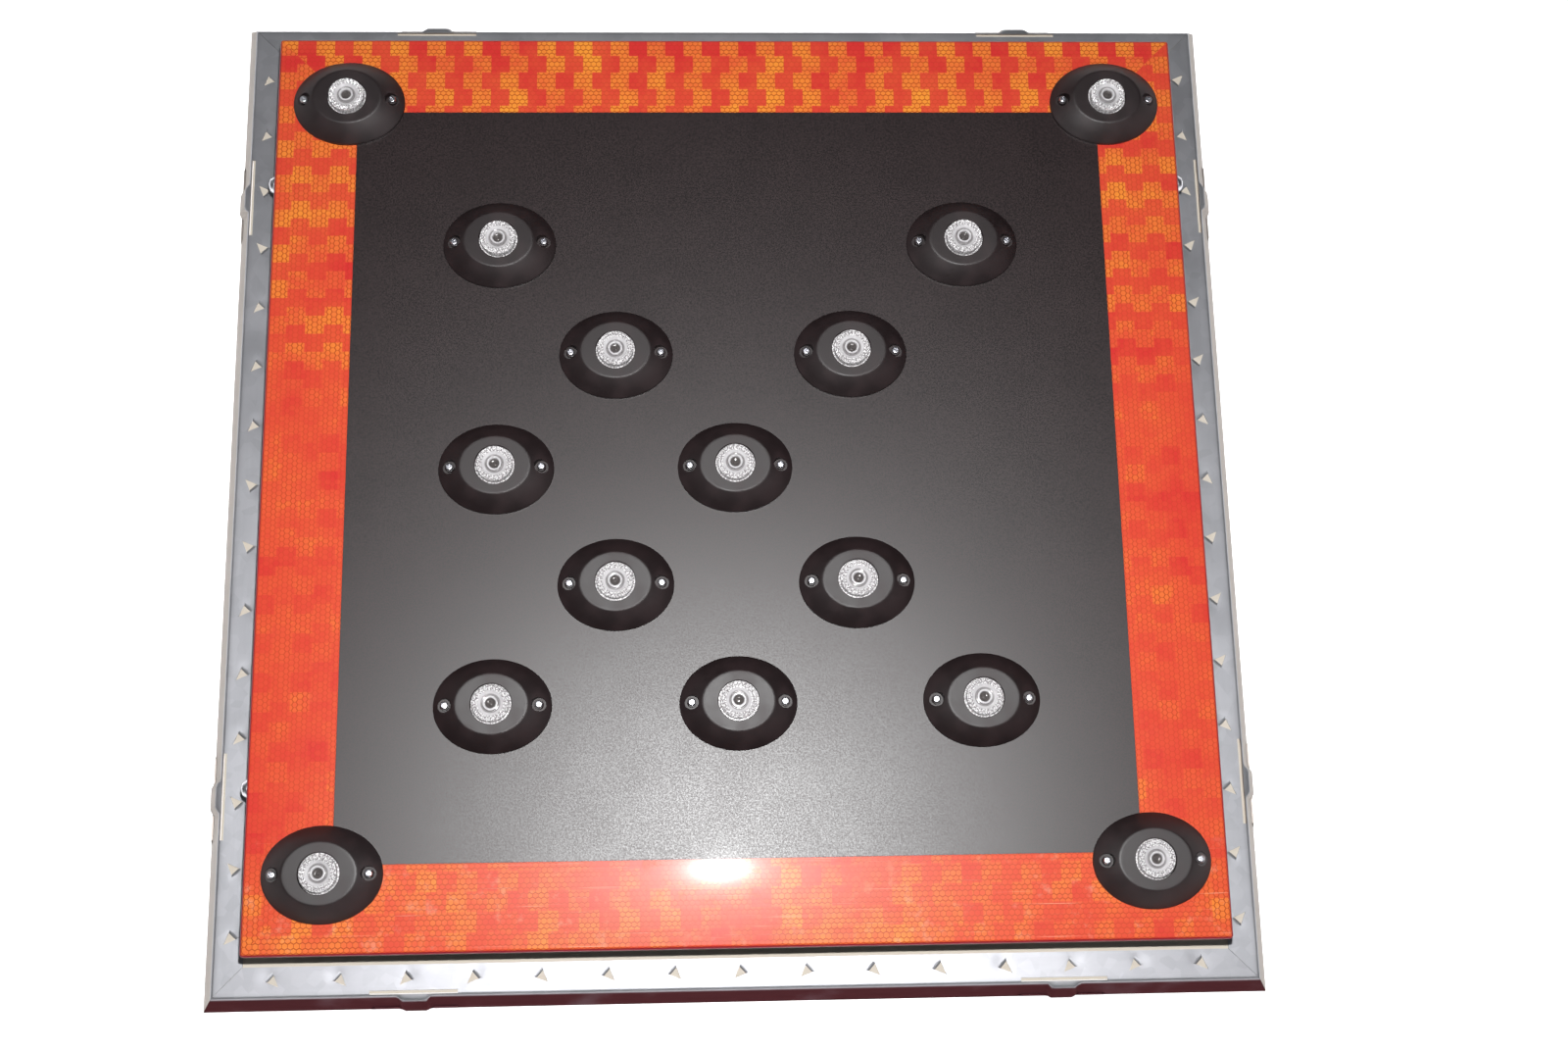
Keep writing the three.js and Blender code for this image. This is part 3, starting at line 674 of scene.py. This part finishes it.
def edge_rail_mesh():
    """The bottom rail, mitred at both ends, with its claw holes, slots and tongues."""
    section = rail_section()
    length = 2 * (BEND + SKIRT_OUT)
    columns = round(length / 3.2)
    rings = []
    for column in range(columns + 1):
        share = 2 * column / columns - 1
        ring = []
        for inward, z in section:
            y = -BEND + inward
            x = share * (-y - MITRE_GAP)
            out, down = rail_shift(x, y, z)
            ring.append((x, y - out, z - down))
        rings.append(ring)
    low = SKIRT_DROP - 2.5 * SHEET
    high = SKIRT_DROP + SHEET
    cutters = [prism(claw_corners(*spot), low, high) for spot in claw_places()]
    y = -BEND + SLOT_INSET
    for x in (-SLOT_OFFSET, SLOT_OFFSET):
        outline = box_outline(x - SLOT_LENGTH / 2, y, x + SLOT_LENGTH / 2, y + SLOT_WIDTH)
        cutters.append(prism(outline, low, high))
    mesh = carved(skin(rings), cutters, "edge_rail")
    bm = bmesh.new()
    bm.from_mesh(mesh)
    bmesh.ops.scale(bm, vec=(1 / MM, 1 / MM, 1 / MM), verts=bm.verts)
    return to_mesh(joined([bm] + [claw_tooth(*spot) for spot in claw_places()]), "edge_rail")


def add_base_board(dark_skirt_shade, light_skirt_shade):
    """One rail mesh, turned for each side. The bottom rail's skirt gets a deeper, redder painted shade
    than the others.
    """
    mesh = edge_rail_mesh()
    for quarter, side in enumerate(("bottom", "right", "top", "left")):
        turn = Matrix.Rotation(quarter * math.pi / 2, 4, "Z")
        steel = dark_skirt_shade if side == "bottom" else light_skirt_shade
        place(f"steel_edge_{side}", mesh.copy(), "base_board", steel,
              turn=turn, replaces=[f"edge_rail_{side}"])
    bpy.data.meshes.remove(mesh)


# ---------------------------------------------------------------- sign panel


def film_rings(half, edge_radius, corner_radius, face):
    """Rings from the window's edge outwards, over the rounded edge and down the side."""
    rings = [square_ring(WINDOW_HALF, WINDOW_CORNER, face)]
    steps = 7
    for step in range(steps + 1):
        angle = step / steps * math.pi / 2
        inset = edge_radius * (1 - math.sin(angle))
        radius = max(corner_radius - inset, 0.6)
        rings.append(square_ring(half - inset, radius, face - edge_radius * (1 - math.cos(angle))))
    rings.append(square_ring(half, corner_radius, FACE_Z - FILM_WRAP))
    return rings


def add_border_film(film):
    outer = film_rings(PANEL_HALF, EDGE_RADIUS, CORNER_RADIUS, FACE_Z)
    inner = film_rings(PANEL_HALF - FILM, EDGE_RADIUS - FILM, CORNER_RADIUS - FILM, FACE_Z - FILM)
    mesh = to_mesh(skin(outer + inner[::-1], ends="joined"), "border_film", smooth_angle=50)
    place("border_sheeting", mesh, "sign", film, replaces=["border_film"])


# ---------------------------------------------------------------- lamps


def housing_mesh(base_oval, height):
    """An oval dome with a flat top, a lens bore, an open underside and two screw pockets."""
    width = sum(base - top for base, top in zip(base_oval, TOP_OVAL)) / 2
    line = rounded([(0, 0), (0, LAMP_RIM), (width, height), (width + 6, height)], [1.2, 3.4])
    rings = []
    for inward, z in resampled(line, 1.5):
        share = inward / width
        if 0 < share < 1:
            z = min(z + SIDE_BULGE * math.sin(math.pi * share), height)
        half_sizes = [base + share * (top - base) for base, top in zip(base_oval, TOP_OVAL)]
        rings.append(oval(half_sizes, z, LAMP_POINTS))
    bore_line = [(0, LENS_SEAT + 1), (LENS_BORE, LENS_SEAT + 1), (LENS_BORE, height - 0.5),
                 (LENS_BORE + 1, height + 0.5), (0, height + 0.5)]
    flange = circle(LENS_FLANGE_RADIUS + CLEARANCE, LENS_POINTS)
    cutters = [prism(flange, -1, LENS_FLANGE_TOP + CLEARANCE),
               turned(rounded(bore_line, [0, 0, 0]), LENS_POINTS)]
    for x in (-SCREW_OFFSET, SCREW_OFFSET):
        hole_line = [(0, -1), (SCREW_HOLE_RADIUS, -1), (SCREW_HOLE_RADIUS, SCREW_SEAT + 0.2),
                     (0, SCREW_SEAT + 0.2)]
        hole = turned(hole_line, 24)
        bmesh.ops.translate(hole, vec=(x, 0, 0), verts=hole.verts)
        pocket_line = ((BOSS_RADIUS, POCKET_FLOOR), (POCKET_RADIUS, POCKET_FLOOR),
                       (POCKET_RADIUS, height), (BOSS_RADIUS, height))
        pocket = skin([round_ring(radius, z, 40, x) for radius, z in pocket_line], ends="joined")
        above_boss = prism(circle(BOSS_RADIUS + 0.2, 40, x), SCREW_SEAT, height + 1)
        cutters += [hole, pocket, above_boss]
    return carved(skin(rings), cutters, "lamp_housing", smooth_angle=30)


def bead_height(radius, angle):
    """The two rows of facets round the rim of the lens."""
    outer = math.sin(math.pi * min(1, max(0, (radius - LENS_RADIUS + BEAD_ROW) / BEAD_ROW)))
    inner = math.sin(math.pi * min(1, max(0, (radius - LENS_RADIUS + 2 * BEAD_ROW) / BEAD_ROW)))
    turn = BEADS * angle / 2
    return BEAD_HEIGHT * (outer * abs(math.cos(turn)) + inner * abs(math.sin(turn)))


def lens_mesh():
    """Flange and barrel below, faceted rim, smooth dish, raised ring and small bowl on top."""
    sides = BEADS * 4
    top = LENS_TOP - 0.8
    below = [(0, LENS_SEAT), (LENS_FLANGE_RADIUS, LENS_SEAT), (LENS_FLANGE_RADIUS, LENS_FLANGE_TOP),
             (LENS_RADIUS, LENS_FLANGE_TOP), (LENS_RADIUS, top - 0.5), (LENS_RADIUS - 0.3, top)]
    beads = [(LENS_RADIUS - BEAD_ROW * step / 4, top) for step in range(1, 9)]
    middle = rounded(
        [(12.4, top + 0.2), (12.0, top + 0.2), (8.3, top - 2.4), (7.4, top - 2.4), (6.9, top + 0.3),
         (5.2, top + 0.3), (4.4, top - 2.2), (2.2, top - 2.9), (1.6, top - 2.0), (0, top - 2.0)],
        [0.3, 1.2, 0.4, 0.5, 0.5, 0.8, 0.5, 0.4], steps=3)
    rings = []
    for radius, z in [*below, *beads, *middle]:
        ring = []
        for i in range(sides):
            angle = 2 * math.pi * i / sides
            lift = bead_height(radius, angle) if z == top else 0
            ring.append((radius * math.cos(angle), radius * math.sin(angle), z + lift))
        rings.append(ring)
    return to_mesh(skin(rings), "lamp_lens", smooth_angle=22)


def lamp_screw_mesh():
    """A pan-head screw with a cross recess."""
    top = SCREW_SEAT + SCREW_HEAD
    head = SCREW_HEAD_RADIUS
    profile = rounded(
        [(0, 1), (SCREW_SHANK_RADIUS, 1), (SCREW_SHANK_RADIUS, SCREW_SEAT), (head, SCREW_SEAT),
         (head, top), (0, top + 0.05)],
        [0, 0, 0.3, 1.6], steps=6)
    long = CROSS_LENGTH / 2
    wide = CROSS_WIDTH / 2
    outlines = (box_outline(-long, -wide, long, wide), box_outline(-wide, -long, wide, long))
    cutters = [prism(outline, top - CROSS_DEPTH, top + 1) for outline in outlines]
    return carved(turned(profile, 40), cutters, "lamp_screw", smooth_angle=30)


def add_lamps(plastic, clear, steel):
    low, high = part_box("lamp_housing_01")
    half_sizes = [(high.x - low.x) / 2 / MM, (high.y - low.y) / 2 / MM]
    housing = housing_mesh(half_sizes, (high.z - low.z) / MM)
    lens = lens_mesh()
    screw = lamp_screw_mesh()
    for number in range(1, LAMPS + 1):
        low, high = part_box(f"lamp_housing_{number:02d}")
        foot = Vector(((low.x + high.x) / 2, (low.y + high.y) / 2, low.z))
        place(f"lamp_body_{number:02d}", housing, "sign", plastic, at=foot,
              replaces=[f"lamp_housing_{number:02d}"])
        spin = Matrix.Rotation(number * 2.4, 4, "Z")
        place(f"lens_{number:02d}", lens, "sign", clear, at=foot, turn=spin,
              replaces=[f"lamp_lens_{number:02d}"])
        for side, letter in ((-1, "a"), (1, "b")):
            turn = Matrix.Rotation(number * 1.3 + side, 4, "Z")
            place(f"lamp_screw_{number:02d}{letter}", screw, "sign", steel,
                  at=foot + Vector((side * SCREW_OFFSET * MM, 0, 0)), turn=turn)


# ---------------------------------------------------------------- side screws


def side_screw_mesh(shank):
    """A button-head screw with a hexagon socket, its head's underside at z = 0."""
    head = SIDE_SCREW_RADIUS
    thread = SIDE_SHANK_RADIUS
    profile = rounded(
        [(0, -shank), (thread - 0.4, -shank), (thread, -shank + 1), (thread, 0), (head, 0), (head, 1.2),
         (6.6, 5.2), (3.6, SIDE_SCREW_HEAD), (0, SIDE_SCREW_HEAD)],
        [0, 0, 0, 0.3, 0.6, 3, 2], steps=6)
    socket = prism(circle(SOCKET_RADIUS, 6), SIDE_SCREW_HEAD - SOCKET_DEPTH, SIDE_SCREW_HEAD + 1)
    return carved(turned(profile, 48), [socket], "side_screw", smooth_angle=30)


def add_side_screws(steel):
    low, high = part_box("side_screw_1")
    mesh = side_screw_mesh((high.x - low.x) / MM - SIDE_SCREW_HEAD)
    for number in range(1, SIDE_SCREWS + 1):
        low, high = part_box(f"side_screw_{number}")
        side = 1 if low.x > 0 else -1
        outer = high.x if side > 0 else -low.x
        at = Vector((side * (outer - SIDE_SCREW_HEAD * MM), (low.y + high.y) / 2, (low.z + high.z) / 2))
        turn = Matrix.Rotation(side * math.pi / 2, 4, "Y")
        place(f"button_screw_{number}", mesh, "sign", steel, at=at, turn=turn,
              replaces=[f"side_screw_{number}"])


# ---------------------------------------------------------------- finishes on the CAD's own pieces


def finish_node(name, material, bevel):
    """A CAD piece keeps its shape and gets a material and slightly rounded edges."""
    node = nodes[name]
    node.material_slots[0].material = material
    edge = node.modifiers.new("soft_edges", "BEVEL")
    edge.width = bevel * MM
    edge.segments = 2
    edge.limit_method = "ANGLE"
    edge.angle_limit = math.radians(40)
    edge.harden_normals = True


# ---------------------------------------------------------------- floor, lights and camera


def soft_light(name, at, target, size, power):
    """A round area light. Places and sizes are in metres, its power in watts."""
    data = bpy.data.lights.new(name, "AREA")
    data.shape = "DISK"
    data.size = size
    data.energy = power
    light = bpy.data.objects.new(name, data)
    light.location = at
    light.rotation_euler = (Vector(target) - Vector(at)).to_track_quat("-Z", "Y").to_euler()
    bpy.context.scene.collection.objects.link(light)


def add_studio():
    floor = bpy.data.meshes.new("floor")
    half = FLOOR_HALF * MM
    corners = [(x, y, 0) for x, y in box_outline(-half, -half, half, half)]
    floor.from_pydata(corners, [], [(0, 1, 2, 3)])
    paint = Paint("floor", roughness=0.9, emission_color=(1, 1, 1, 1), emission_strength=0.7)
    paint.colour(srgb(248, 248, 248))
    floor.materials.append(paint.material)
    plane = bpy.data.objects.new("floor", floor)
    bpy.context.scene.collection.objects.link(plane)

    world = bpy.data.worlds.new("studio")
    world.use_nodes = True
    background = world.node_tree.nodes["Background"]
    background.inputs["Color"].default_value = (0.9, 0.93, 1, 1)
    background.inputs["Strength"].default_value = 0.035
    bpy.context.scene.world = world

    soft_light("key", at=(0.0, -0.28, 1.88), target=(0, -0.1, 0.08), size=0.05, power=35)
    soft_light("fill_left", at=(-2.6, 1.2, 2.0), target=(0, 0, 0), size=1.8, power=3)
    soft_light("fill_right", at=(2.6, -1.2, 2.0), target=(0, 0, 0), size=1.8, power=3)


def add_camera():
    """Almost straight above the board, in metres, with its lens in millimetres."""
    data = bpy.data.cameras.new("camera")
    data.lens = 44.88
    data.sensor_width = 36
    data.clip_start = 0.05
    data.clip_end = 50
    camera = bpy.data.objects.new("camera", data)
    camera.location = (-0.0381, -0.5009, 1.8833)
    camera.rotation_euler = [math.radians(angle) for angle in (13.86, -2.378, -1.146)]
    bpy.context.scene.collection.objects.link(camera)
    bpy.context.scene.camera = camera


# ---------------------------------------------------------------- the scene

bpy.context.scene.view_settings.view_transform = "Standard"

# Both steels paint shade on the skirt: deep red-brown with red-tinted reflections on the bottom rail, and
# a milder grey-brown on the others.
steel_dark_skirt_shade = galvanised_steel("steel_dark_skirt_shade", srgb(60, 28, 33), srgb(80, 46, 50), (0.5, 0.32, 0.34, 1))
steel_light_skirt_shade = galvanised_steel("steel_light_skirt_shade", srgb(150, 142, 136), srgb(178, 170, 164), (1, 1, 1, 1))
black_plastic = lamp_plastic()
stainless = brushed_metal("stainless", srgb(214, 214, 222), srgb(246, 246, 250), 0.26, (1, 1, 1))
aluminium = brushed_metal("aluminium", srgb(178, 180, 182), srgb(215, 217, 219), 0.28, (0.03, 1, 1))
control_plastic = moulded("control_plastic", srgb(104, 108, 112), srgb(122, 126, 130), 0.5)
circuit_board = moulded("circuit_board", srgb(24, 74, 44), srgb(34, 98, 56), 0.3)
cable_black = moulded("cable_black", srgb(20, 20, 20), srgb(36, 36, 36), 0.5)

finish_node("plywood_board", plywood(), 0.2)
finish_node("face_tray", tray_paint(), 0.3)
finish_node("centre_film", centre_film(), 0.05)
for name in ("back_cover", "stiffener_upper", "stiffener_lower", "mounting_rail_upper",
             "mounting_rail_lower"):
    finish_node(name, aluminium, 0.4)
for name in ("control_unit_case", "control_unit_lid"):
    finish_node(name, control_plastic, 0.8)
for name in ("cable_gland", "gland_locknut"):
    finish_node(name, black_plastic, 0.4)
finish_node("control_circuit_board", circuit_board, 0.2)
finish_node("wiring_loom", cable_black, 0.6)

add_base_board(steel_dark_skirt_shade, steel_light_skirt_shade)
add_border_film(border_film())
add_lamps(black_plastic, lens_clear(), stainless)
add_side_screws(stainless)
add_studio()
add_camera()
